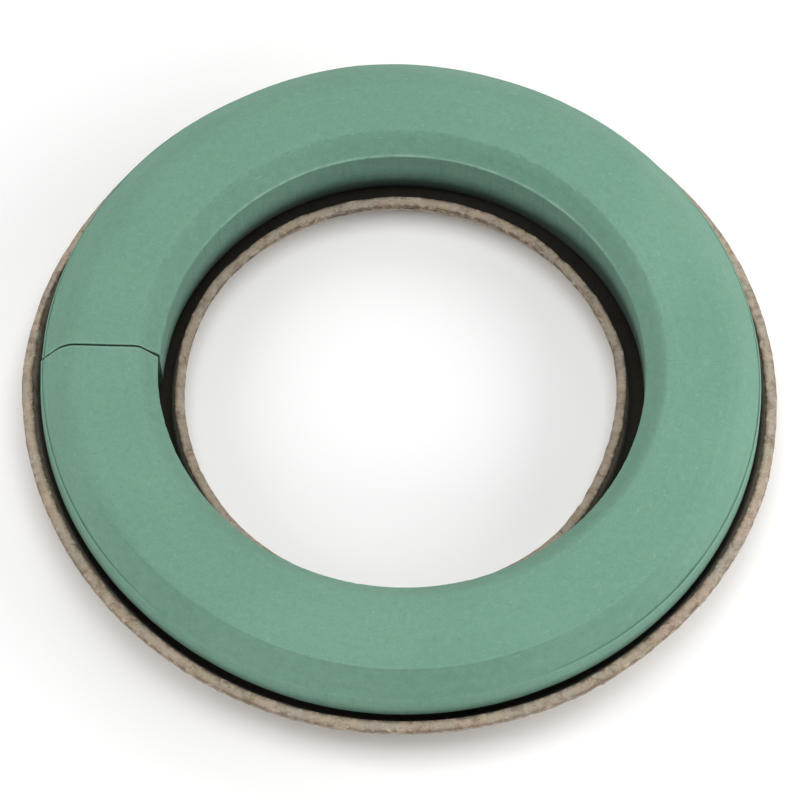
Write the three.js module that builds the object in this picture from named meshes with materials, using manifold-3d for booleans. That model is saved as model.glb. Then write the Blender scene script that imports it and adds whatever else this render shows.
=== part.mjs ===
// A floristry wreath ring: two half rings of wet floral foam glued end to end
// into a shallow ring-shaped tray of thick moulded paper pulp.
// Millimetres, +Z up. The origin is the middle of the ring, on the surface that the tray stands on.
import * as THREE from "three";
import { mergeVertices } from "three/addons/utils/BufferGeometryUtils.js";
import Module from "manifold-3d";

// ---- driving dimensions ----
const TRAY_OUTER_R = 150; // outermost edge of the tray's rim
const TRAY_OUTER_LIP = 4.2; // width of the outer rim's flat top
const TRAY_INNER_R = 86.2; // hole through the tray, at the rim
const TRAY_INNER_LIP = 3.9; // width of the inner rim's flat top
const TRAY_H = 18; // outer rim above the table
const TRAY_INNER_H = 13; // inner rim above the table
const TRAY_FLOOR = 4; // thickness of the tray's floor
const RIM_BAND = 3.4; // each rim's face stands nearly upright for this far down
const OUTER_DRAFT = 24; // degrees that the tray's outer wall leans out
const INNER_DRAFT = 14; // degrees that the tray's inner wall leans in

const FOAM_BASE_Z = 5; // underside of the foam, on the adhesive
const FOAM_OUT_SHOULDER_Z = 30; // where the outer wall ends and its chamfer begins
const FOAM_IN_SHOULDER_Z = 34.3; // where the inner wall ends and its chamfer begins
const FOAM_TOP_Z = 42.3; // flat top of the foam
const FOAM_OUT_TOP_R = 134.2; // flat top's outer edge
const FOAM_OUT_R = 142; // outer shoulder
const FOAM_OUT_RIM_R = 143; // outer wall where it drops below the tray's rim
const FOAM_OUT_BASE_R = 136.4; // outer edge of the underside
const FOAM_IN_TOP_R = 103.8; // flat top's inner edge
const FOAM_IN_R = 96.5; // inner shoulder, and the inner wall down to the rim
const FOAM_IN_BASE_R = 99.6; // inner edge of the underside

const SEAM_LEFT_Y = 0.2; // where the butt joint crosses the ring on the -X side
const SEAM_RIGHT_Y = 4.5; // and on the +X side
const SEAM_LEFT_GAP = 0.7;
const SEAM_RIGHT_GAP = 0.3;

const GLUE_R = 10.5; // radius of one dab of hot-melt adhesive, pressed flat
const GLUE_RING_R = 118.5; // the dabs lie on this circle
const GLUE_PER_HALF = 4;

const TRAY_SEGMENTS = 96;
const FOAM_SEGMENTS = 96;

// ---- materials ----
const foamGreen = new THREE.MeshStandardMaterial({ color: 0x739f8a, roughness: 0.95, metalness: 0 });
const pulpBrown = new THREE.MeshStandardMaterial({ color: 0xa89b88, roughness: 0.95, metalness: 0 });
const glueAmber = new THREE.MeshStandardMaterial({ color: 0xd9c68f, roughness: 0.45, metalness: 0 });

const wasm = await Module();
wasm.setup();

const rad = (deg) => (deg * Math.PI) / 180;

// A closed profile of [radius, height] pairs, turned round the Z axis.
function turned(profile, segments) {
  const points = [...profile, profile[0]].map(([r, z]) => new THREE.Vector2(r, z));
  return new THREE.LatheGeometry(points, segments).rotateX(Math.PI / 2);
}

// Position-only copy of a closed geometry, as a solid that can be joined and cut.
function solid(geometry) {
  const bare = new THREE.BufferGeometry();
  bare.setAttribute("position", geometry.getAttribute("position").clone());
  if (geometry.index) bare.setIndex(geometry.index.clone());
  const merged = mergeVertices(bare, 1e-4);
  return new wasm.Manifold(
    new wasm.Mesh({
      numProp: 3,
      vertProperties: Float32Array.from(merged.getAttribute("position").array),
      triVerts: Uint32Array.from(merged.index.array),
    }),
  );
}

function geometryOf(made) {
  const mesh = made.getMesh();
  const g = new THREE.BufferGeometry();
  g.setAttribute("position", new THREE.BufferAttribute(Float32Array.from(mesh.vertProperties), 3));
  g.setIndex(new THREE.BufferAttribute(Uint32Array.from(mesh.triVerts), 1));
  g.computeVertexNormals();
  return g;
}

function named(name, geometry, material) {
  const mesh = new THREE.Mesh(geometry, material);
  mesh.name = name;
  return mesh;
}

// ---- the moulded pulp tray: one thick skin, pressed into a ring-shaped channel ----
const outerFoot = TRAY_OUTER_R - (TRAY_H - RIM_BAND) * Math.tan(rad(OUTER_DRAFT));
const innerFoot = TRAY_INNER_R + 0.5 + (TRAY_INNER_H - RIM_BAND) * Math.tan(rad(INNER_DRAFT));
const outerChannel = TRAY_OUTER_R - TRAY_OUTER_LIP;
const innerChannel = TRAY_INNER_R + TRAY_INNER_LIP;
const outerChannelFoot = outerChannel - (TRAY_H - TRAY_FLOOR) * Math.tan(rad(OUTER_DRAFT));
const innerChannelFoot = innerChannel + (TRAY_INNER_H - TRAY_FLOOR) * Math.tan(rad(INNER_DRAFT));
const outerLean = Math.tan(rad(OUTER_DRAFT));
const innerLean = Math.tan(rad(INNER_DRAFT));
const trayProfile = [
  // underside, from the hole outwards
  [innerFoot + 3.2, 0],
  [outerFoot - 3.2, 0],
  // outer foot, rounded
  [outerFoot - 1.1, 0.7],
  [outerFoot + 2.6 * outerLean, 2.6],
  // outer wall, then the rim's upright band and its rounded upper edge
  [TRAY_OUTER_R - 0.5, TRAY_H - RIM_BAND],
  [TRAY_OUTER_R, TRAY_H - RIM_BAND + 1.0],
  [TRAY_OUTER_R, TRAY_H - 0.8],
  [TRAY_OUTER_R - 0.8, TRAY_H],
  // outer rim, channel wall, rounded corner, floor
  [outerChannel + 0.3, TRAY_H],
  [outerChannel, TRAY_H - 0.4],
  [outerChannelFoot + 3 * outerLean, TRAY_FLOOR + 3],
  [outerChannelFoot - 0.6, TRAY_FLOOR + 0.9],
  [outerChannelFoot - 2.6, TRAY_FLOOR],
  [innerChannelFoot + 2.2, TRAY_FLOOR],
  [innerChannelFoot + 0.4, TRAY_FLOOR + 0.9],
  [innerChannelFoot - 3 * innerLean, TRAY_FLOOR + 3],
  // inner channel wall, inner rim, and the face round the hole
  [innerChannel, TRAY_INNER_H - 0.4],
  [innerChannel - 0.3, TRAY_INNER_H],
  [TRAY_INNER_R + 0.8, TRAY_INNER_H],
  [TRAY_INNER_R, TRAY_INNER_H - 0.8],
  [TRAY_INNER_R, TRAY_INNER_H - RIM_BAND + 1.0],
  [TRAY_INNER_R + 0.5, TRAY_INNER_H - RIM_BAND],
  [innerFoot - 2.6 * innerLean, 2.6],
  [innerFoot + 1.0, 0.7],
];

// ---- the foam: one ring section, cut across into two halves ----
const foamProfile = [
  [FOAM_IN_BASE_R, FOAM_BASE_Z],
  [FOAM_OUT_BASE_R, FOAM_BASE_Z],
  [FOAM_OUT_BASE_R + 1.5, FOAM_BASE_Z + 1.4],
  [FOAM_OUT_RIM_R, TRAY_H + 0.4],
  [FOAM_OUT_R + 0.3, FOAM_OUT_SHOULDER_Z - 1.2],
  [FOAM_OUT_R - 0.4, FOAM_OUT_SHOULDER_Z + 0.8],
  [FOAM_OUT_TOP_R + 1.2, FOAM_TOP_Z - 1.1],
  [FOAM_OUT_TOP_R - 1.0, FOAM_TOP_Z],
  [FOAM_IN_TOP_R + 0.9, FOAM_TOP_Z],
  [FOAM_IN_TOP_R - 0.9, FOAM_TOP_Z - 1.2],
  [FOAM_IN_R + 0.4, FOAM_IN_SHOULDER_Z + 0.6],
  [FOAM_IN_R, FOAM_IN_SHOULDER_Z - 0.6],
  [FOAM_IN_R + 0.3, TRAY_INNER_H + 2],
  [FOAM_IN_BASE_R - 1.2, FOAM_BASE_Z + 1.4],
];

// An upright prism over a closed outline of [x, y] pairs.
function prism(outline, bottom, height) {
  const shape = new THREE.Shape(outline.map(([x, y]) => new THREE.Vector2(x, y)));
  return new THREE.ExtrudeGeometry(shape, { depth: height, bevelEnabled: false }).translate(0, 0, bottom);
}

const reach = TRAY_OUTER_R + 30;
const slope = (SEAM_RIGHT_Y - SEAM_LEFT_Y) / (2 * GLUE_RING_R);
const seamY = (x, gap) => (SEAM_RIGHT_Y + SEAM_LEFT_Y) / 2 + slope * x + gap;
const foamRing = solid(turned(foamProfile, FOAM_SEGMENTS));
const rearRegion = solid(
  prism(
    [
      [-reach, seamY(-reach, SEAM_LEFT_GAP / 2)],
      [reach, seamY(reach, SEAM_RIGHT_GAP / 2)],
      [reach, reach],
      [-reach, reach],
    ],
    -10,
    80,
  ),
);
const frontRegion = solid(
  prism(
    [
      [-reach, -reach],
      [reach, -reach],
      [reach, seamY(reach, -SEAM_RIGHT_GAP / 2)],
      [-reach, seamY(-reach, -SEAM_LEFT_GAP / 2)],
    ],
    -10,
    80,
  ),
);

// ---- one dab of hot-melt adhesive, squeezed flat between the tray and the foam ----
function dab() {
  const bulge = (FOAM_BASE_Z - TRAY_FLOOR) / 2;
  const profile = [
    new THREE.Vector2(0, TRAY_FLOOR),
    new THREE.Vector2(GLUE_R - bulge, TRAY_FLOOR),
    new THREE.Vector2(GLUE_R, TRAY_FLOOR + bulge),
    new THREE.Vector2(GLUE_R - bulge, FOAM_BASE_Z),
    new THREE.Vector2(0, FOAM_BASE_Z),
  ];
  return new THREE.LatheGeometry(profile, 20).rotateX(Math.PI / 2);
}

const ring = new THREE.Group();
ring.name = "foam_wreath_ring";

const tray = new THREE.Group();
tray.add(named("pulp_tray", turned(trayProfile, TRAY_SEGMENTS), pulpBrown));
ring.add(tray);

const foam = new THREE.Group();
foam.add(named("foam_half_rear", geometryOf(foamRing.intersect(rearRegion)), foamGreen));
foam.add(named("foam_half_front", geometryOf(foamRing.intersect(frontRegion)), foamGreen));
ring.add(foam);

const glue = new THREE.Group();
for (const [half, start] of [
  ["rear", 0],
  ["front", 180],
]) {
  for (let i = 0; i < GLUE_PER_HALF; i++) {
    const angle = rad(start + (180 / GLUE_PER_HALF) * (i + 0.5));
    const mesh = named("glue_dab_" + half + "_" + (i + 1), dab(), glueAmber);
    mesh.position.set(GLUE_RING_R * Math.cos(angle), GLUE_RING_R * Math.sin(angle), 0);
    glue.add(mesh);
  }
}
ring.add(glue);

export default ring;
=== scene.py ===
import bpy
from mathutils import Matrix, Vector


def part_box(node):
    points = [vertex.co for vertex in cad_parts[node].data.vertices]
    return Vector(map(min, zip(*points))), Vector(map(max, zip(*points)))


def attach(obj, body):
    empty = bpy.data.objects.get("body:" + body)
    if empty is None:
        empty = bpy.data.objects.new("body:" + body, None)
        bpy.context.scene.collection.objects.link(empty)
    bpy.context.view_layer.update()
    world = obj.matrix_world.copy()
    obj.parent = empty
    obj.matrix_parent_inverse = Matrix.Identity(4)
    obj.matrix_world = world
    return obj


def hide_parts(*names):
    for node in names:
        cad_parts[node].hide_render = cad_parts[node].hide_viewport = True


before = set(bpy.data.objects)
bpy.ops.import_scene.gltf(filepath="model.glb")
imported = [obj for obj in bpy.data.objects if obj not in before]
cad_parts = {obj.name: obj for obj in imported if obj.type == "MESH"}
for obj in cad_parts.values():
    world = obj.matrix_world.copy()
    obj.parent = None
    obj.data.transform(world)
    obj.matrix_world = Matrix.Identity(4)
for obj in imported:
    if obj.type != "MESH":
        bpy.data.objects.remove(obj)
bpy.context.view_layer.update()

import math

import bpy
import numpy as np
from mathutils import Matrix, Vector

MM = 0.001
TRAY_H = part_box("pulp_tray")[1].z / MM  # the tray's outer rim, mm above the table
INNER_H = TRAY_H - 5.0  # and its inner rim
FOAM_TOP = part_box("foam_half_front")[1].z / MM
FOAM_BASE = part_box("foam_half_front")[0].z / MM
TRAY_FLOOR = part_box("glue_dab_front_1")[0].z / MM
R_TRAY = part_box("pulp_tray")[1].x / MM


# ------------------------------------------------------------------ camera
def make_camera():
    elevation, distance, roll = 62.04, 2.3858, 2.465
    focal_px = 6000.0
    target = Vector((-0.0002, -0.0058, TRAY_H * MM))
    el, ro = math.radians(elevation), math.radians(roll)
    place = Vector((0, -math.cos(el), math.sin(el))) * distance + Vector((0, 0, TRAY_H * MM))
    ahead = (target - place).normalized()
    right = ahead.cross(Vector((0, 0, 1))).normalized()
    up = right.cross(ahead)
    x = right * math.cos(ro) + up * math.sin(ro)
    y = up * math.cos(ro) - right * math.sin(ro)
    data = bpy.data.cameras.new("camera")
    data.sensor_width = 36.0
    data.lens = 36.0 * focal_px / 800.0
    data.clip_start, data.clip_end = 0.01, 50.0
    cam = bpy.data.objects.new("camera", data)
    m = Matrix.Identity(4)
    for row in range(3):
        m[row][0], m[row][1], m[row][2], m[row][3] = x[row], y[row], -ahead[row], place[row]
    cam.matrix_world = m
    bpy.context.scene.collection.objects.link(cam)
    bpy.context.scene.camera = cam


make_camera()


# ------------------------------------------------------------------ noise in numpy
def gradients(seed):
    rng = np.random.default_rng(seed)
    perm = rng.permutation(4096)
    g = rng.normal(size=(4096, 3))
    return perm, g / np.linalg.norm(g, axis=1)[:, None]


def perlin(p, seed=0):
    """Gradient noise of about -0.9 to 0.9 at the rows of p."""
    perm, grad = gradients(seed)
    p = np.asarray(p, float)
    cell = np.floor(p).astype(np.int64)
    f = p - cell
    w = f * f * f * (f * (f * 6 - 15) + 10)
    out = np.zeros(len(p))
    for dx in (0, 1):
        wx = w[:, 0] if dx else 1 - w[:, 0]
        hx = perm[(cell[:, 0] + dx) & 4095]
        for dy in (0, 1):
            wy = w[:, 1] if dy else 1 - w[:, 1]
            hy = perm[(hx + cell[:, 1] + dy) & 4095]
            for dz in (0, 1):
                wz = w[:, 2] if dz else 1 - w[:, 2]
                g = grad[perm[(hy + cell[:, 2] + dz) & 4095]]
                d = g[:, 0] * (f[:, 0] - dx) + g[:, 1] * (f[:, 1] - dy) + g[:, 2] * (f[:, 2] - dz)
                out += wx * wy * wz * d
    return out * 1.5


def fbm(p, octaves, seed, gain=0.5):
    total, amp, norm = np.zeros(len(p)), 1.0, 0.0
    for k in range(octaves):
        total += amp * perlin(p * 2.0**k + 17.3 * k, seed + k)
        norm += amp
        amp *= gain
    return total / norm


def smooth(x, lo, hi):
    """0 at lo and 1 at hi, whichever is the larger."""
    t = np.clip((x - lo) / (hi - lo), 0, 1)
    return t * t * (3 - 2 * t)


def bump_at(x, centre, width):
    return np.exp(-(((x - centre) / width) ** 2))


# ------------------------------------------------------------------ profiles
def rounded(corners, layout=None):
    """A closed profile from corners (r, z, fillet radius, step to the next corner), and the number of points in each arc and straight, so that a second profile can be laid out alike."""
    n = len(corners)
    arcs, counts = [], []
    for i in range(n):
        r0, z0 = corners[i - 1][:2]
        r1, z1, rad, step = corners[i]
        r2, z2 = corners[(i + 1) % n][:2]
        a = np.array([r0 - r1, z0 - z1])
        b = np.array([r2 - r1, z2 - z1])
        la, lb = np.linalg.norm(a), np.linalg.norm(b)
        a, b = a / la, b / lb
        ang = math.acos(np.clip(a @ b, -1, 1))
        t = max(min(rad / math.tan(ang / 2), 0.48 * la, 0.48 * lb), 0.02)
        rad = t * math.tan(ang / 2)
        c = np.array([r1, z1])
        centre = c + (a + b) / np.linalg.norm(a + b) * rad / math.sin(ang / 2)
        p, q = c + a * t, c + b * t
        k = max(2, int(math.ceil(max((math.pi - ang) / math.radians(18), rad * (math.pi - ang) / 0.75)))) if layout is None else layout[i][0]
        a0 = math.atan2(*(p - centre)[::-1])
        a1 = math.atan2(*(q - centre)[::-1])
        d = (a1 - a0 + math.pi) % (2 * math.pi) - math.pi
        arcs.append([centre + rad * np.array([math.cos(a0 + d * j / k), math.sin(a0 + d * j / k)]) for j in range(k + 1)])
        counts.append([k, 0])
    out = []
    for i in range(n):
        arc, step = arcs[i], corners[i][3]
        out += arc
        nxt = arcs[(i + 1) % n][0]
        k = max(1, int(round(np.linalg.norm(nxt - arc[-1]) / step))) if layout is None else layout[i][1]
        counts[i][1] = k
        out += [arc[-1] + (nxt - arc[-1]) * j / k for j in range(1, k)]
    return np.array(out), counts


def outline_length(p):
    d = np.linalg.norm(np.roll(p, -1, 0) - p, axis=1)
    return np.concatenate([[0], np.cumsum(d)[:-1]]), d.sum()


def outline_normals(p):
    t = np.roll(p, -1, 0) - np.roll(p, 1, 0)
    t /= np.linalg.norm(t, axis=1)[:, None]
    return np.stack([t[:, 1], -t[:, 0]], 1)  # the profile runs anticlockwise in (r, z)


# ------------------------------------------------------------------ meshes
def mesh_object(name, verts, faces, material, floats=None, uv=None, sharp=None, flat_from=None):
    mesh = bpy.data.meshes.new(name)
    mesh.from_pydata([], [], [])
    verts = np.asarray(verts, np.float32)
    quads = [f for f in faces]
    loops = np.concatenate([np.asarray(f).ravel() for f in quads])
    sizes = np.concatenate([np.full(len(f), f.shape[1]) for f in quads])
    mesh.vertices.add(len(verts))
    mesh.vertices.foreach_set("co", verts.ravel())
    mesh.loops.add(len(loops))
    mesh.loops.foreach_set("vertex_index", loops.astype(np.int32))
    mesh.polygons.add(len(sizes))
    starts = np.concatenate([[0], np.cumsum(sizes)[:-1]]).astype(np.int32)
    mesh.polygons.foreach_set("loop_start", starts)
    mesh.update(calc_edges=True)
    mesh.polygons.foreach_set("use_smooth", np.ones(len(sizes), bool))
    if uv is not None:
        layer = mesh.attributes.new("surf", "FLOAT_VECTOR", "POINT")
        layer.data.foreach_set("vector", np.asarray(uv, np.float32).ravel())
    for key, values in (floats or {}).items():
        layer = mesh.attributes.new(key, "FLOAT", "POINT")
        layer.data.foreach_set("value", np.asarray(values, np.float32))
    if sharp is not None:
        marked = np.zeros(len(verts), bool)
        marked[sharp] = True
        edges = np.zeros(len(mesh.edges) * 2, np.int32)
        mesh.edges.foreach_get("vertices", edges)
        edges = edges.reshape(-1, 2)
        layer = mesh.attributes.new("sharp_edge", "BOOLEAN", "EDGE")
        layer.data.foreach_set("value", marked[edges[:, 0]] & marked[edges[:, 1]])
    mesh.validate()
    obj = bpy.data.objects.new(name, mesh)
    mesh.materials.append(material)
    bpy.context.scene.collection.objects.link(obj)
    return obj


def grid_faces(rows, cols, wrap_rows, wrap_cols):
    i = np.arange(rows if wrap_rows else rows - 1)
    j = np.arange(cols if wrap_cols else cols - 1)
    ii, jj = np.meshgrid(i, j, indexing="ij")
    i2, j2 = (ii + 1) % rows, (jj + 1) % cols
    return np.stack([ii * cols + jj, i2 * cols + jj, i2 * cols + j2, ii * cols + j2], -1).reshape(-1, 4)


# ------------------------------------------------------------------ materials
class Nodes:
    def __init__(self, name):
        self.mat = bpy.data.materials.new(name)
        self.mat.use_nodes = True
        self.t = self.mat.node_tree
        self.t.nodes.clear()
        self.out = self.add("ShaderNodeOutputMaterial")
        self.bsdf = self.add("ShaderNodeBsdfPrincipled")
        self.t.links.new(self.bsdf.outputs[0], self.out.inputs[0])

    def add(self, kind, **props):
        n = self.t.nodes.new(kind)
        for k, v in props.items():
            setattr(n, k, v)
        return n

    def link(self, a, b):
        self.t.links.new(a, b)

    def put(self, socket, value):
        if hasattr(value, "node"):
            self.link(value, socket)
        else:
            socket.default_value = value

    def coords(self, scale=(1, 1, 1), attribute=None):
        if attribute:
            src = self.add("ShaderNodeAttribute", attribute_name=attribute).outputs["Vector"]
        else:
            src = self.add("ShaderNodeTexCoord").outputs["Object"]
        m = self.add("ShaderNodeVectorMath", operation="MULTIPLY")
        self.link(src, m.inputs[0])
        m.inputs[1].default_value = scale
        return m.outputs[0]

    def value(self, attribute):
        return self.add("ShaderNodeAttribute", attribute_name=attribute).outputs["Fac"]

    def noise(self, vector, scale, detail=2.0, rough=0.5, distortion=0.0):
        n = self.add("ShaderNodeTexNoise")
        self.link(vector, n.inputs["Vector"])
        n.inputs["Scale"].default_value = scale
        n.inputs["Detail"].default_value = detail
        n.inputs["Roughness"].default_value = rough
        n.inputs["Distortion"].default_value = distortion
        return n.outputs["Fac"]

    def voronoi(self, vector, scale, feature="F1", randomness=1.0):
        n = self.add("ShaderNodeTexVoronoi", feature=feature)
        self.link(vector, n.inputs["Vector"])
        n.inputs["Scale"].default_value = scale
        n.inputs["Randomness"].default_value = randomness
        return n.outputs["Distance"]

    def math(self, op, a, b=0.0, c=None, clamp=False):
        n = self.add("ShaderNodeMath", operation=op, use_clamp=clamp)
        self.put(n.inputs[0], a)
        self.put(n.inputs[1], b)
        if c is not None:
            self.put(n.inputs[2], c)
        return n.outputs[0]

    def span(self, value, lo, hi, to_lo=0.0, to_hi=1.0, soft=True):
        n = self.add("ShaderNodeMapRange", interpolation_type="SMOOTHSTEP" if soft else "LINEAR")
        self.put(n.inputs["Value"], value)
        n.inputs["From Min"].default_value = lo
        n.inputs["From Max"].default_value = hi
        n.inputs["To Min"].default_value = to_lo
        n.inputs["To Max"].default_value = to_hi
        return n.outputs["Result"]

    def mix(self, factor, a, b, blend="MIX"):
        n = self.add("ShaderNodeMix", data_type="RGBA", blend_type=blend)
        self.put(n.inputs[0], factor)
        self.put(n.inputs[6], a)
        self.put(n.inputs[7], b)
        return n.outputs[2]

    def bump(self, height, distance, strength=1.0, normal=None):
        n = self.add("ShaderNodeBump")
        self.link(height, n.inputs["Height"])
        n.inputs["Distance"].default_value = distance
        n.inputs["Strength"].default_value = strength
        if normal is not None:
            self.link(normal, n.inputs["Normal"])
        return n.outputs[0]


def foam_material():
    m = Nodes("floral_foam")
    p = m.coords()
    surf = m.coords(attribute="surf")
    base = (0.145, 0.285, 0.210, 1)
    deep = (0.130, 0.264, 0.193, 1)
    pale = (0.178, 0.328, 0.246, 1)
    yellowish = (0.156, 0.287, 0.194, 1)
    dark = (0.092, 0.200, 0.143, 1)
    # broad drift of tone, then blotches about a centimetre across
    c = m.mix(m.span(m.noise(p, 14, 2, 0.5), 0.36, 0.66), base, deep)
    c = m.mix(m.math("MULTIPLY", m.span(m.noise(p, 95, 3, 0.55), 0.52, 0.74), 0.35), c, yellowish)
    # faint lines left round the ring by the mould
    lines = m.noise(m.coords((3.0, 420.0, 1.0), "surf"), 1.0, 3, 0.55)
    c = m.mix(m.math("MULTIPLY", m.span(lines, 0.5, 0.72), 0.09), c, pale)
    c = m.mix(m.math("MULTIPLY", m.span(lines, 0.5, 0.3), 0.09), c, dark)
    mottle = m.noise(p, 330, 3, 0.6)
    c = m.mix(m.math("MULTIPLY", m.span(mottle, 0.5, 0.70), 0.20), c, pale)
    c = m.mix(m.math("MULTIPLY", m.span(mottle, 0.5, 0.30), 0.16), c, dark)
    # strokes up and down the walls
    strokes = m.noise(m.coords((520.0, 26.0, 1.0), "surf"), 1.0, 2, 0.6)
    side = m.value("side")
    c = m.mix(m.math("MULTIPLY", m.math("MULTIPLY", m.span(strokes, 0.56, 0.74), side), 0.55), c, pale)
    c = m.mix(m.math("MULTIPLY", m.math("MULTIPLY", m.span(strokes, 0.44, 0.3), side), 0.5), c, dark)
    # the open cells: dark pores between pale cell walls
    fine = m.noise(p, 1500, 2, 0.6)
    c = m.mix(m.math("MULTIPLY", m.span(fine, 0.5, 0.70), 0.24), c, pale)
    c = m.mix(m.math("MULTIPLY", m.span(fine, 0.48, 0.3), 0.28), c, dark)
    specks = m.noise(p, 620, 1, 0.5)
    c = m.mix(m.math("MULTIPLY", m.span(specks, 0.68, 0.78), 0.35), c, (0.225, 0.385, 0.295, 1))
    c = m.mix(m.math("MULTIPLY", m.span(specks, 0.33, 0.24), 0.35), c, dark)
    # short pale scuffs
    scuffs = m.noise(m.coords((150.0, 900.0, 1.0), "surf"), 1.0, 1, 0.5)
    c = m.mix(m.math("MULTIPLY", m.span(scuffs, 0.72, 0.78), 0.35), c, (0.235, 0.40, 0.305, 1))
    # crushed, dusty edges are paler; painted shade darkens the parting groove, the flat top's edges and the open joint
    worn = m.math("MULTIPLY", m.value("worn"), m.span(m.noise(p, 260, 2, 0.6), 0.2, 0.5))
    c = m.mix(worn, c, (0.275, 0.455, 0.350, 1))
    c = m.mix(m.value("painted_crease_shade"), c, (0.045, 0.10, 0.07, 1))
    # painted shade: the foam is darkened down the walls towards the channel and on the inner wall
    c = m.mix(m.value("painted_shade"), c, (0.008, 0.028, 0.018, 1))
    m.link(c, m.bsdf.inputs["Base Color"])
    m.bsdf.inputs["Roughness"].default_value = 0.95
    m.bsdf.inputs["Specular IOR Level"].default_value = 0.18
    m.bsdf.inputs["Sheen Weight"].default_value = 0.06
    m.bsdf.inputs["Sheen Roughness"].default_value = 0.6
    cells = m.math("ADD", m.math("MULTIPLY", fine, 0.7), m.math("MULTIPLY", m.noise(p, 3600, 1, 0.5), 0.3))
    n = m.bump(cells, 0.00035, 0.6)
    n = m.bump(m.math("ADD", m.math("MULTIPLY", specks, 0.6), m.math("MULTIPLY", lines, 0.4)), 0.00035, 0.45, n)
    n = m.bump(m.math("MULTIPLY", strokes, side), 0.0006, 0.5, n)
    m.link(n, m.bsdf.inputs["Normal"])
    return m.mat


def pulp_material():
    m = Nodes("moulded_pulp")
    p = m.coords()
    tan = (0.400, 0.325, 0.245, 1)
    grey = (0.365, 0.322, 0.262, 1)
    pink = (0.460, 0.335, 0.278, 1)
    straw = (0.390, 0.345, 0.205, 1)
    brown = (0.200, 0.145, 0.090, 1)
    patch = m.noise(p, 70, 3, 0.6, 0.4)
    c = m.mix(m.span(patch, 0.42, 0.62), tan, grey)
    c = m.mix(m.math("MULTIPLY", m.span(m.noise(m.coords((1, 1, 1.7)), 48, 3, 0.6), 0.55, 0.7), 0.7), c, pink)
    c = m.mix(m.math("MULTIPLY", m.span(m.noise(m.coords((1.3, 1, 1)), 84, 3, 0.62), 0.57, 0.7), 0.6), c, straw)
    # matted fibres: short bent strands in two directions
    fibre_a = m.noise(m.coords((900, 170, 500)), 1.0, 3, 0.65, 1.2)
    fibre_b = m.noise(m.coords((190, 980, 520)), 1.0, 3, 0.65, 1.2)
    fibres = m.math("MAXIMUM", fibre_a, fibre_b)
    c = m.mix(m.math("MULTIPLY", m.span(fibres, 0.56, 0.76), 0.45), c, (0.50, 0.43, 0.34, 1))
    c = m.mix(m.math("MULTIPLY", m.span(m.math("MINIMUM", fibre_a, fibre_b), 0.44, 0.26), 0.55), c, brown)
    grit = m.noise(p, 700, 2, 0.6)
    c = m.mix(m.math("MULTIPLY", m.span(grit, 0.62, 0.74), 0.30), c, (0.50, 0.45, 0.36, 1))
    c = m.mix(m.math("MULTIPLY", m.span(grit, 0.36, 0.26), 0.55), c, (0.12, 0.085, 0.055, 1))
    # stains a few millimetres across, and rubbed brown edges
    stain = m.noise(m.coords((1, 1, 1.3)), 190, 4, 0.68, 0.6)
    c = m.mix(m.math("MULTIPLY", m.span(stain, 0.52, 0.66), 0.68), c, (0.205, 0.145, 0.100, 1))
    c = m.mix(m.math("MULTIPLY", m.span(stain, 0.46, 0.32), 0.45), c, (0.50, 0.42, 0.335, 1))
    rub = m.math("MULTIPLY", m.value("edge"), m.span(m.noise(p, 330, 3, 0.65), 0.34, 0.56))
    c = m.mix(rub, c, (0.095, 0.062, 0.040, 1))
    # print and bark specks in the recycled stock
    spot = m.noise(p, 330, 1, 0.5)
    c = m.mix(m.math("MULTIPLY", m.span(spot, 0.73, 0.79), 0.7), c, (0.10, 0.07, 0.05, 1))
    c = m.mix(m.math("MULTIPLY", m.span(m.noise(m.coords((1, 1, 1.4)), 240, 1, 0.5), 0.75, 0.80), 0.5), c, (0.58, 0.53, 0.44, 1))
    # torn edges show the browner core, and painted shade darkens the nooks and faces under the rims
    c = m.mix(m.math("MULTIPLY", m.value("torn_and_undercut_shade"), 0.94), c, (0.040, 0.024, 0.014, 1))
    # painted shade: the pulp darkens deep in the channel
    c = m.mix(m.value("painted_shade"), c, (0.013, 0.013, 0.008, 1))
    m.link(c, m.bsdf.inputs["Base Color"])
    m.bsdf.inputs["Roughness"].default_value = 0.97
    m.bsdf.inputs["Specular IOR Level"].default_value = 0.12
    m.bsdf.inputs["Sheen Weight"].default_value = 0.06
    m.bsdf.inputs["Sheen Roughness"].default_value = 0.7
    n = m.bump(fibres, 0.0005, 0.8)
    n = m.bump(grit, 0.0004, 0.6, n)
    n = m.bump(patch, 0.0012, 0.5, n)
    m.link(n, m.bsdf.inputs["Normal"])
    return m.mat


def glue_material():
    m = Nodes("hot_melt")
    p = m.coords()
    c = m.mix(m.span(m.noise(p, 120, 2, 0.5), 0.35, 0.7), (0.66, 0.53, 0.27, 1), (0.55, 0.41, 0.18, 1))
    m.link(c, m.bsdf.inputs["Base Color"])
    m.link(m.span(m.noise(p, 400, 2, 0.5), 0.3, 0.7, 0.32, 0.5), m.bsdf.inputs["Roughness"])
    m.bsdf.inputs["Subsurface Weight"].default_value = 0.2
    m.bsdf.inputs["Subsurface Scale"].default_value = 0.002
    m.link(m.bump(m.noise(p, 500, 2, 0.5), 0.0002, 0.5), m.bsdf.inputs["Normal"])
    return m.mat


def floor_material():
    m = Nodes("studio_floor")
    p = m.coords()
    c = m.mix(m.span(m.noise(p, 3, 3, 0.5), 0.3, 0.7), (0.865, 0.865, 0.86, 1), (0.85, 0.85, 0.845, 1))
    m.link(c, m.bsdf.inputs["Base Color"])
    m.bsdf.inputs["Roughness"].default_value = 0.9
    m.bsdf.inputs["Specular IOR Level"].default_value = 0.1
    return m.mat


FOAM, PULP, GLUE, FLOOR = foam_material(), pulp_material(), glue_material(), floor_material()

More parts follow.
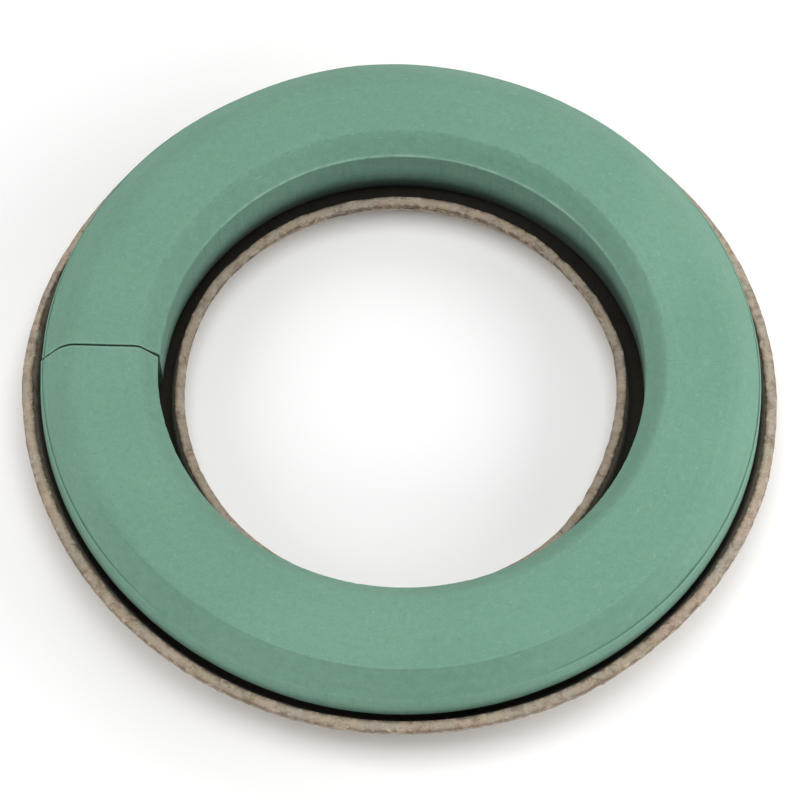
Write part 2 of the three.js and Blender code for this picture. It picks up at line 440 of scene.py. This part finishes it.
# ------------------------------------------------------------------ the foam halves
OUT_SHOULDER, IN_SHOULDER = 30.0, 34.3  # where the walls end and the top chamfers begin
OUT_FLAT, IN_FLAT = 134.2, 103.8  # the flat top's two edges
SEAM_MID, SEAM_SLOPE = 2.35, 4.3 / 237.0


def foam_corners(flat_out, flat_in, flash, out_r=OUT_FLAT):
    """The section: fillets of the flat top's edges, and whether the outer shoulder carries the parting flash."""
    top = FOAM_TOP - 0.05
    shoulder = (
        [(142.6, 28.4, 0.6, 0.3), (142.35, 29.35, 0.3, 0.22), (141.75, 28.95, 0.12, 0.25), (141.3, 30.4, 0.3, 0.72)]
        if flash
        else [(142.5, 28.3, 0.9, 0.3), (142.2, 29.2, 0.9, 0.22), (141.9, 29.8, 0.5, 0.25), (141.45, 30.5, 0.6, 0.72)]
    )
    return (
        [(100.0, FOAM_BASE, 0.8, 3.0), (136.4, FOAM_BASE, 1.6, 1.6), (143.0, 18.4, 3.0, 0.85)]
        + shoulder
        + [(out_r, top, flat_out, 0.76), (IN_FLAT, top, flat_in, 0.72)]
        + [(96.55, IN_SHOULDER, 0.55, 0.72), (96.85, 15.0, 4.0, 1.4), (98.6, 6.4, 1.0, 0.8)]
    )


FOAM_AT = [0, 30, 45, 60, 75, 90, 100, 120, 135, 165, 180, 195, 210, 225, 240, 255, 270, 285, 300]
FOAM_OUT = [0, -0.3, -0.9, -0.6, -0.3, 0.5, 0.8, -0.3, 0, 0, 0.25, 0, -0.3, -0.5, -0.4, 0.2, 0.5, 0.4, 0.2]


def arc_stations(length, step):
    """Distances from one end to the other, closer together near both ends."""
    near = [0.0, 0.1, 0.25, 0.45, 0.75, 1.2, 1.8]
    k = int(round((length - 2 * near[-1]) / step))
    middle = near[-1] + (length - 2 * near[-1]) * np.arange(1, k) / k
    return np.concatenate([near, middle, length - np.array(near[::-1])])


def foam_half(name, rear):
    soft, layout = rounded(foam_corners(9.0, 4.5, False))
    crisp_out = rounded(foam_corners(1.3, 4.5, False), layout)[0]
    crisp_in = rounded(foam_corners(22.0, 1.6, False, 130.8), layout)[0]
    flashed = rounded(foam_corners(9.0, 4.5, True), layout)[0]
    profile = soft
    prof_n = outline_normals(profile)
    s, total = outline_length(profile)
    rm = 119.0
    stations = arc_stations(math.pi * rm, 0.92)
    t = stations / stations[-1]
    r = profile[:, 0][None, :]
    gap_left, gap_right = (0.42, 0.025) if rear else (-0.36, -0.025)
    right = (SEAM_MID + SEAM_SLOPE * r + gap_right) / r
    left = math.pi - (SEAM_MID - SEAM_SLOPE * r + gap_left) / r
    if not rear:
        right, left = left, right + 2 * math.pi
    phi = right + (left - right) * t[:, None]
    rows, cols = phi.shape
    # the parting flash is plain on both sides and fades out at the front and the back
    deg = np.degrees(phi[:, :1]) % 360
    away_front = np.abs((deg - 262 + 180) % 360 - 180)
    away_back = np.abs((deg - 85 + 180) % 360 - 180)
    ring = np.stack([np.cos(phi[:, 0]), np.sin(phi[:, 0]), np.zeros(rows)], 1)
    flash = smooth(away_front[:, 0], 24, 52) * smooth(away_back[:, 0], 20, 60)
    flash *= 0.72 + 0.5 * fbm(ring * 9, 3, 40)
    flash = np.clip(flash, 0, 1)[:, None, None]
    # the flat top's edges are crisp at the front and the back, and rubbed round on both sides
    front = smooth(-np.sin(phi[:, 0]), 0.35, 0.85)[:, None, None]
    back = smooth(np.sin(phi[:, 0]), 0.0, 0.6)[:, None, None]
    pr = soft[None] + flash * (flashed - soft)[None] + front * (crisp_out - soft)[None] + back * (crisp_in - soft)[None]
    # the cut section wanders a little round the ring
    at = np.degrees(phi[:, 0]) % 360
    edge = 0.8 * np.clip(-np.sin(phi[:, 0]), 0, 1) ** 2 - 0.8 * np.cos(phi[:, 0]) ** 2
    bell = np.exp(-(((profile[:, 0] - OUT_FLAT) / 5.0) ** 2)) * (profile[:, 1] > 33)
    wall_out = smooth(profile[:, 0], 128, 141)
    lean = np.interp(at, FOAM_AT, FOAM_OUT, period=360)
    pr = pr + np.stack([edge[:, None] * bell[None] + lean[:, None] * wall_out[None], np.zeros((rows, cols))], -1)
    if rear:
        # towards the clear joint this half's inner wall stands a little further in
        inward = smooth(at, 100, 155)[:, None] * smooth(profile[:, 0], 101.5, 97.5)[None] * (1.1 + 1.2 * smooth(profile[:, 1], 33, 14))[None]
        pr[..., 0] -= inward
    rr, zz = pr[..., 0].copy(), pr[..., 1].copy()
    cosp, sinp = np.cos(phi), np.sin(phi)

    flat = lambda a: np.broadcast_to(a, (rows, cols)).ravel()
    xyz = np.stack([rr * cosp, rr * sinp, zz], -1).reshape(-1, 3)
    ss = flat(s[None, :])
    rz_r, rz_z = flat(profile[:, 0][None, :]), flat(profile[:, 1][None, :])
    normal_r, normal_z = flat(prof_n[:, 0][None, :]), flat(prof_n[:, 1][None, :])
    shown = smooth(rz_z, 9, 17)

    d = 0.16 * fbm(xyz / 70.0, 2, 11) + 0.07 * fbm(xyz / 16.0, 3, 12)
    d += 0.028 * fbm(xyz / 2.6, 2, 13)
    # mould lines round the ring
    around = np.stack([flat(ring[:, 0][:, None]) * 2.2, flat(ring[:, 1][:, None]) * 2.2, ss / 1.7], 1)
    d += 0.018 * fbm(around, 2, 14) * shown
    # draw marks down the walls
    wall = smooth(np.abs(normal_r), 0.88, 0.98)
    marks = np.stack([xyz[:, 0] / 1.6, xyz[:, 1] / 1.6, rz_z / 26.0], 1)
    d += 0.05 * fbm(marks, 2, 15) * wall * shown
    # bruised edges: the two edges of the flat top and the inner shoulder
    crisp_o, crisp_i = flat(front[:, :, 0]), flat(back[:, :, 0])
    edge_out = np.exp(-(np.hypot(rz_r - OUT_FLAT + 0.6, rz_z - FOAM_TOP + 0.6) / 1.3) ** 2) * crisp_o
    edge_in = np.exp(-(np.hypot(rz_r - IN_FLAT - 0.6, rz_z - FOAM_TOP + 0.6) / 1.3) ** 2) * crisp_i
    shoulder_in = np.exp(-(np.hypot(rz_r - 96.55, rz_z - IN_SHOULDER) / 0.8) ** 2)
    crumble = fbm(xyz / 3.1, 3, 16)
    d -= 0.30 * smooth(crumble, 0.12, 0.5) * (0.6 * edge_out + edge_in + 0.6 * shoulder_in)
    # single nicks and dents, most of them small
    rng = np.random.default_rng(5 if rear else 6)
    nicks = 150
    na = rng.uniform(phi.min() + 0.02, phi.max() - 0.02, nicks)
    ns = rng.uniform(0, total, nicks)
    nr = rng.uniform(0.5, 1.25, nicks)
    nd = rng.uniform(0.06, 0.26, nicks)
    stretch = rng.uniform(0.8, 2.6, nicks)
    pa = phi.ravel()
    order = np.argsort(pa)
    pa_sorted = pa[order]
    for a, q, w, depth, e in zip(na, ns, nr, nd, stretch):
        reach = 3 * w * e / 90.0
        lo, hi = np.searchsorted(pa_sorted, [a - reach, a + reach])
        idx = order[lo:hi]
        along = (pa[idx] - a) * rz_r[idx]
        across = ss[idx] - q
        d[idx] -= depth * np.exp(-((along / (w * e)) ** 2) - (across / w) ** 2)
    # ends: rounded, a little crumbled, and at the clear joint one half stands a hair lower
    from_end = np.minimum(stations, stations[-1] - stations)
    turn = 0.42
    fall = np.where(from_end < turn, turn - np.sqrt(np.maximum(turn**2 - (turn - from_end) ** 2, 0)), 0.0)
    first_end = stations < stations[-1] / 2
    at_left = (first_end != rear)
    ease = np.where(at_left, 0.95, 0.07)
    fall = flat((fall * ease)[:, None]) * (0.65 + 0.9 * np.clip(fbm(xyz / 2.2, 2, 17) + 0.4, 0, 1))
    d -= fall * smooth(rz_z, 6, 8)
    if rear:
        near_left = flat((np.exp(-((stations[-1] - stations) / 9.0) ** 2))[:, None])
        d -= 0.22 * near_left * shown
    else:
        near_left = flat((np.exp(-(stations / 14.0) ** 2))[:, None])
        d += 0.06 * near_left * shown
    under = smooth(-normal_z, 0.6, 0.95) * (rz_z < 8)
    d *= 1 - under
    d = np.clip(d, -0.9, 0.35)
    rr = rr.ravel() + d * normal_r
    zz = zz.ravel() + d * normal_z
    verts = np.stack([rr * cosp.ravel(), rr * sinp.ravel(), zz], 1) * MM

    # where the surface is worn, where painted shade lies in the creases and low down, or where it stands on its side
    line_in = np.exp(-(np.hypot(rz_r - 96.75, rz_z - IN_SHOULDER) / 0.5) ** 2)
    worn = 0.95 * line_in * flat(smooth(np.sin(phi[:, :1]), 0.35, 0.8)) * (0.55 + 0.45 * smooth(fbm(xyz / 7.0, 2, 21), -0.25, 0.3))
    worn += 0.06 * edge_out
    fl = flat(flash[:, :, 0])
    lip = np.exp(-(np.hypot(rz_r - 142.3, rz_z - 29.0) / 0.45) ** 2)
    worn += 0.3 * lip * fl
    seam_edge = flat(np.exp(-(from_end / 0.7) ** 2 * np.where(at_left, 1, 2))[:, None])
    worn += 0.35 * seam_edge * shown * flat(np.where(at_left, 1.0, 0.25)[:, None])
    # painted shade in the parting groove, along the flat top's two edges and in the open joint at the left
    painted_crease_shade = 1.1 * np.exp(-(np.hypot(rz_r - 141.88, rz_z - 29.85) / 0.42) ** 2) * fl
    painted_crease_shade += 0.75 * np.exp(-(np.hypot(rz_r - OUT_FLAT, rz_z - FOAM_TOP) / 0.7) ** 2) * crisp_o * smooth(fbm(xyz / 9.0, 2, 22), -0.3, 0.1)
    painted_crease_shade += 0.60 * np.exp(-(np.hypot(rz_r - IN_FLAT, rz_z - FOAM_TOP) / 0.7) ** 2) * crisp_i * smooth(fbm(xyz / 2.5, 2, 23), -0.1, 0.3)
    painted_crease_shade = np.maximum(painted_crease_shade, 0.92 * flat((np.where(at_left, 1.0, 0.0) * np.clip(1.25 - from_end / 0.2, 0, 1))[:, None]) * shown)
    side = smooth(np.abs(normal_r), 0.86, 0.97) * np.where(rz_r < 118, 1.0, 0.45)
    worn, painted_crease_shade = np.clip(worn, 0, 1), np.clip(painted_crease_shade, 0, 1)
    inside = rz_r < 118
    beside = flat(smooth(np.sin(phi[:, :1]), 0.85, 0.35))
    far_right = flat(smooth(np.cos(phi[:, :1]), 0.45, 0.8))
    # painted shade: the walls darken towards the channel, and the inner wall below the shoulder and the inner chamfer a
    # little
    painted_shade = np.where(
        inside,
        0.96 * smooth(rz_z, 27.0 + 1.0 * beside + 4.0 * far_right, 7.5 + 2.5 * beside + 4.0 * far_right) ** 1.4 + 0.22 * smooth(rz_z, 34.6, 33.4) + 0.06 * smooth(rz_z, 41.5, 38.0) * (rz_r < IN_FLAT),
        0.96 * smooth(rz_z, 25.2, 14.2) ** 1.1,
    )
    # painted shade: the near chamfer is a little darker than the rest
    painted_shade = painted_shade + 0.09 * crisp_o * smooth(rz_r, 133.6, 134.6) * smooth(rz_z, 28.5, 30.5)
    painted_shade = np.clip(painted_shade + 0.10 * fbm(xyz / 4.0, 2, 24) * (painted_shade > 0.02), 0, 0.96)
    surf = np.stack([pa * rm * MM, ss * MM, np.zeros(len(ss))], 1)

    faces = grid_faces(rows, cols, False, True)
    if not rear or True:
        faces = faces[:, ::-1]
    cap_a = np.arange(cols)[None, :]
    cap_b = ((rows - 1) * cols + np.arange(cols))[None, ::-1]
    obj = mesh_object(
        name, verts, [faces, cap_a, cap_b], FOAM,
        floats={"worn": worn, "painted_crease_shade": painted_crease_shade, "side": side * shown, "painted_shade": painted_shade},
        uv=surf, sharp=np.concatenate([cap_a[0], cap_b[0]]),
    )
    return obj


# ------------------------------------------------------------------ the tray
TRAY_CORNERS = [
    (90.6, 0.0, 3.0, 3.6),
    (142.6, 0.0, 4.5, 1.15),
    (148.95, 13.9, 0.5, 0.4),
    (149.1, 14.7, 0.3, 0.4),
    (150.0, 15.0, 0.35, 0.42),
    (150.0, TRAY_H, 0.95, 0.42),
    (145.8, TRAY_H, 0.5, 1.25),
    (139.55, TRAY_FLOOR, 3.6, 3.6),
    (92.4, TRAY_FLOOR, 3.0, 1.1),
    (90.05, INNER_H, 0.5, 0.42),
    (86.15, INNER_H, 0.8, 0.42),
    (86.2, INNER_H - 2.0, 0.35, 0.4),
    (87.0, INNER_H - 2.7, 0.35, 0.4),
    (87.2, INNER_H - 4.0, 0.5, 1.0),
]
# the pressed tray is not quite round or flat: by azimuth, mm
EVERY_15 = np.arange(0, 360, 15.0)
RIM_OUT = [-0.4, -0.9, -1.3, -2.3, -1.9, -1.2, -0.7, -1.1, -1.8, -2.4, -2.5, -1.0, 0.7, 0.3, -0.1, 0.0, 0.2, 0.5, 0.3, 0.4, 0.4, -0.3, 0.1, 0.5]
RIM_DOWN = [0.1, 0.7, 1.8, 2.6, 2.8, 2.9, 3.0, 2.9, 2.8, 2.6, 1.6, 0.6, 0, 0, 0, 0, 0, 0, 0, 0, 0, 0, 0, 0]
RIM_IN = [-0.4, 1.2, 0.3, -0.1, 0, 0, 0, 0, 0, 0, 0.6, 0.3, -0.3, 0.0, 0.4, 0.8, 0.9, 0.9, 0.9, 0.9, 0.9, 0.8, -0.9, -1.5]


def tray():
    profile = rounded(TRAY_CORNERS)[0]
    prof_n = outline_normals(profile)
    s, total = outline_length(profile)
    rows, cols = 660, len(profile)
    phi = 2 * math.pi * np.arange(rows) / rows
    flat = lambda a: np.broadcast_to(a, (rows, cols)).ravel()
    pr, pz = flat(profile[:, 0][None, :]), flat(profile[:, 1][None, :])
    nr, nz = flat(prof_n[:, 0][None, :]), flat(prof_n[:, 1][None, :])
    c, sn = flat(np.cos(phi)[:, None]), flat(np.sin(phi)[:, None])
    xyz = np.stack([pr * c, pr * sn, pz], 1)
    ring = np.stack([c, sn, np.zeros_like(c)], 1)
    outer = pr > 118
    rim_z = np.where(outer, TRAY_H, INNER_H)
    rim = smooth(pz, rim_z - 4.5, rim_z - 0.5)
    at = np.degrees(np.arctan2(sn, c)) % 360
    turned = lambda table: np.interp(at, EVERY_15, table, period=360)

    # the whole wall wanders a little, so both rims do too
    wander = np.where(outer, fbm(ring * 4.0, 3, 61), fbm(ring * 3.0 + 9, 3, 62))
    wander_fine = np.where(outer, fbm(ring * 26.0, 2, 63), fbm(ring * 18.0 + 5, 2, 64))
    r = pr + (0.26 * wander + 0.16 * wander_fine) * smooth(pz, 1.0, rim_z)
    r += np.where(outer, turned(RIM_OUT), turned(RIM_IN)) * np.clip(pz / rim_z, 0, 1) ** 1.3
    lift = np.where(outer, fbm(ring * 3.4 + 3, 2, 65), fbm(ring * 3.0 + 7, 2, 66))
    z = pz + (0.30 * lift) * smooth(pz, rim_z - 8, rim_z)
    z -= np.where(outer, turned(RIM_DOWN), 0) * np.clip((pz - TRAY_FLOOR) / (TRAY_H - TRAY_FLOOR), 0, 1)
    # the width of each rim varies
    lip_side = np.where(outer, pr < 147.5, pr > 88.4)
    width = np.where(outer, fbm(ring * 11.0 + 2, 2, 67), fbm(ring * 9.0 + 4, 2, 68))
    r += 0.28 * width * np.where(lip_side, 1, 0) * rim * np.where(outer, -1, 1)

    r += 1.5 * smooth(at, 178, 169) * smooth(at, 143, 165) * outer * smooth(pr, 148.3, 146.2) * smooth(pz, 6, 15)

    d = 0.16 * fbm(xyz / 9.0, 3, 71) + 0.10 * fbm(xyz / 3.0, 2, 72)
    lump = fbm(xyz / np.array([5.0, 5.0, 3.0]), 2, 73)
    # ragged underside of each rim's edge
    edge_o = np.exp(-(((pr - 149.6) / 0.9) ** 2) - ((pz - 14.9) / 0.8) ** 2)
    edge_i = np.exp(-(((pr - 86.5) / 0.9) ** 2) - ((pz - INNER_H + 2.3) / 0.8) ** 2)
    ragged = fbm(xyz / np.array([3.4, 3.4, 2.2]), 3, 74)
    drop = 1.3 * np.clip(ragged + 0.1, -0.5, 0.7) * (edge_o + 1.2 * edge_i)
    z -= drop
    nook = np.exp(-(((pr - 149.0) / 0.5) ** 2) - ((pz - 14.4) / 0.9) ** 2) + np.exp(-(((pr - 87.1) / 0.6) ** 2) - ((pz - INNER_H + 3.2) / 0.9) ** 2)
    d -= 0.85 * nook * smooth(ragged, -0.3, 0.35)
    # loose fibres and flakes hang under the rims
    shreds = fbm(np.stack([np.arctan2(sn, c) * pr / 2.1, pz / 0.9, pr / 0.9], 1), 2, 77)
    low_face = np.where(outer, smooth(pz, TRAY_H - 1.9, TRAY_H - 3.2), smooth(pz, INNER_H - 1.6, INNER_H - 2.8)) * (pz > 4) * smooth(np.abs(nr), 0.3, 0.7)
    low_face *= np.where(outer, pr > 147.5, pr < 88.6)
    d += (0.42 * shreds + 0.05) * low_face
    # nicks along both rims
    rng = np.random.default_rng(9)
    for _ in range(46):
        a = rng.uniform(0, 2 * math.pi)
        on_outer = rng.random() < 0.62
        w, depth = rng.uniform(0.7, 2.4), rng.uniform(0.15, 0.6)
        corner = (150.0 if rng.random() < 0.6 else 145.8) if on_outer else (86.2 if rng.random() < 0.6 else 90.0)
        da = np.angle(np.exp(1j * (np.arctan2(sn, c) - a))) * pr
        hit = np.exp(-((da / w) ** 2) - ((pr - corner) / 0.8) ** 2 - ((pz - rim_z) / 1.2) ** 2)
        d -= depth * hit
    under = smooth(-nz, 0.5, 0.9) * (pz < 3)
    d = np.where(under > 0, d * (1 - under) - np.abs(0.10 * fbm(xyz / 4.0, 3, 75)) * under, d)
    d += 0.12 * lump * rim * 0.5
    d = np.clip(d, -1.2, 0.5)
    r = np.minimum(r + d * nr, R_TRAY + 1.2)
    z = np.maximum(z + d * nz, 0.0)
    verts = np.stack([r * c, r * sn, z], 1) * MM

    # torn, ragged edges, with painted shade in the nooks and on the faces under the rims
    torn_and_undercut_shade = np.clip(1.25 * nook + 0.75 * (edge_o + edge_i) * smooth(ragged, -0.1, 0.4), 0, 1)
    torn_and_undercut_shade = np.maximum(torn_and_undercut_shade, low_face * smooth(shreds, 0.16, -0.10) * np.where(outer, 0.8, 1.0))
    # painted shade: the channel walls darken with depth
    channel = smooth(nz, 0.02, 0.2) * (pz > TRAY_FLOOR - 0.5) * np.where(outer, pr < 146.1, pr > 89.8)
    painted_shade = channel * np.where(outer, 0.9 * smooth(pz, 17.4, 11.5), 0.95 * smooth(pz, INNER_H - 0.4, INNER_H - 6.5) ** 0.8)
    corner = lambda cr, cz, w: np.exp(-(np.hypot(pr - cr, pz - cz) / w) ** 2)
    edge = 0.80 * corner(150.0, TRAY_H - 1.0, 1.15) + 0.95 * corner(145.7, TRAY_H - 0.4, 1.05)
    edge += 0.95 * corner(86.1, INNER_H - 1.0, 1.1) + 0.95 * corner(90.1, INNER_H - 0.4, 0.95)
    edge = np.clip(edge, 0, 1)
    # painted shade: the inner rim a little darker too
    painted_shade = np.maximum(painted_shade, 0.09 * (pr < 118) * rim)
    # dark blotches on the steep faces
    torn_and_undercut_shade = np.maximum(torn_and_undercut_shade, 0.55 * smooth(fbm(xyz / np.array([2.5, 2.5, 1.2]), 3, 76), 0.2, 0.5) * smooth(np.abs(nr), 0.6, 0.9))
    return mesh_object(
        "tray_body", verts, [grid_faces(rows, cols, True, True)[:, ::-1]], PULP,
        floats={"torn_and_undercut_shade": torn_and_undercut_shade, "painted_shade": painted_shade, "edge": edge}, uv=np.stack([np.arctan2(sn, c) * 0.119, flat(s[None, :]) * MM, 0 * c], 1),
    )


# ------------------------------------------------------------------ the adhesive
def dab(node, index):
    lo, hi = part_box(node)
    centre = (lo + hi) / 2
    radius = (hi.x - lo.x) / 2
    z0, z1 = lo.z, hi.z
    rng = np.random.default_rng(200 + index)
    n, rings = 64, 9
    a = 2 * math.pi * np.arange(n) / n
    lobes = np.zeros(n)
    for k in range(2, 7):
        lobes += rng.uniform(0.2, 1.0) / k * np.cos(k * a + rng.uniform(0, 6.28))
    reach = radius * (0.93 + 0.06 * lobes / np.abs(lobes).max())
    half = (z1 - z0) / 2
    loops = []
    for side, z in ((0, z0), (1, z1)):
        pass
    fracs = [0.0, 0.3, 0.6, 0.85]
    layers = [(f, z0) for f in fracs[1:]]
    bulge = [(0.93, -0.98), (0.97, -0.75), (1.0, -0.3), (1.0, 0.3), (0.97, 0.75), (0.93, 0.98)]
    verts = [(centre.x, centre.y, z0)]
    for f in fracs[1:]:
        verts += [(centre.x + reach[i] * f * math.cos(a[i]), centre.y + reach[i] * f * math.sin(a[i]), z0) for i in range(n)]
    for f, h in bulge:
        verts += [(centre.x + reach[i] * f * math.cos(a[i]), centre.y + reach[i] * f * math.sin(a[i]), z0 + half * (1 + h)) for i in range(n)]
    for f in fracs[:0:-1]:
        verts += [(centre.x + reach[i] * f * math.cos(a[i]), centre.y + reach[i] * f * math.sin(a[i]), z1) for i in range(n)]
    verts.append((centre.x, centre.y, z1))
    bands = (len(verts) - 2) // n
    quads, tris = [], []
    for b in range(bands - 1):
        for i in range(n):
            j = (i + 1) % n
            quads.append((1 + b * n + i, 1 + b * n + j, 1 + (b + 1) * n + j, 1 + (b + 1) * n + i))
    last = len(verts) - 1
    for i in range(n):
        j = (i + 1) % n
        tris.append((0, 1 + j, 1 + i))
        tris.append((last, last - n + i, last - n + j))
    return mesh_object(node + "_body", verts, [np.array(quads), np.array(tris)], GLUE)


def place(obj, node, slot_name):
    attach(obj, "root")
    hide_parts(node)


place(tray(), "pulp_tray", "moulded_pulp")
place(foam_half("foam_rear_body", True), "foam_half_rear", "floral_foam")
place(foam_half("foam_front_body", False), "foam_half_front", "floral_foam")
for i, node in enumerate(sorted(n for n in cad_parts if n.startswith("glue_dab"))):
    place(dab(node, i), node, "hot_melt")


# ------------------------------------------------------------------ studio
def floor():
    size, n = 3.0, 24
    g = np.linspace(-size, size, n)
    x, y = np.meshgrid(g, g, indexing="ij")
    verts = np.stack([x.ravel(), y.ravel(), np.full(n * n, -0.00015)], 1)
    obj = mesh_object("floor", verts, [grid_faces(n, n, False, False)], FLOOR)


def area(name, place_at, target, size, power, colour=(1, 1, 1)):
    data = bpy.data.lights.new(name, "AREA")
    data.shape = "RECTANGLE"
    data.size, data.size_y = size
    data.energy = power
    data.color = colour
    obj = bpy.data.objects.new(name, data)
    obj.location = place_at
    obj.rotation_euler = (Vector(target) - Vector(place_at)).to_track_quat("-Z", "Y").to_euler()
    bpy.context.scene.collection.objects.link(obj)


floor()
POWER = 1.15
area("softbox_top", (0.0, 0.15, 1.9), (0, 0, 0), (1.6, 1.6), 19.6 * POWER)
area("softbox_right", (0.62, 0.0, 0.34), (0, 0, 0), (0.9, 0.3), 3.3 * POWER)
area("softbox_left", (-1.5, 0.0, 0.95), (0, 0, 0), (1.1, 1.1), 11.8 * POWER)
area("softbox_front", (0.0, -0.9, 0.35), (0, 0, 0.02), (1.4, 0.4), 4.2 * POWER)
area("softbox_back", (0.0, 1.3, 0.9), (0, 0, 0), (1.4, 0.8), 7.4 * POWER)
world = bpy.data.worlds.new("studio")
world.use_nodes = True
world.node_tree.nodes["Background"].inputs[0].default_value = (1, 1, 1, 1)
world.node_tree.nodes["Background"].inputs[1].default_value = 0.02
bpy.context.scene.world = world
bpy.context.scene.view_settings.view_transform = "Standard"
bpy.context.scene.view_settings.look = "None"
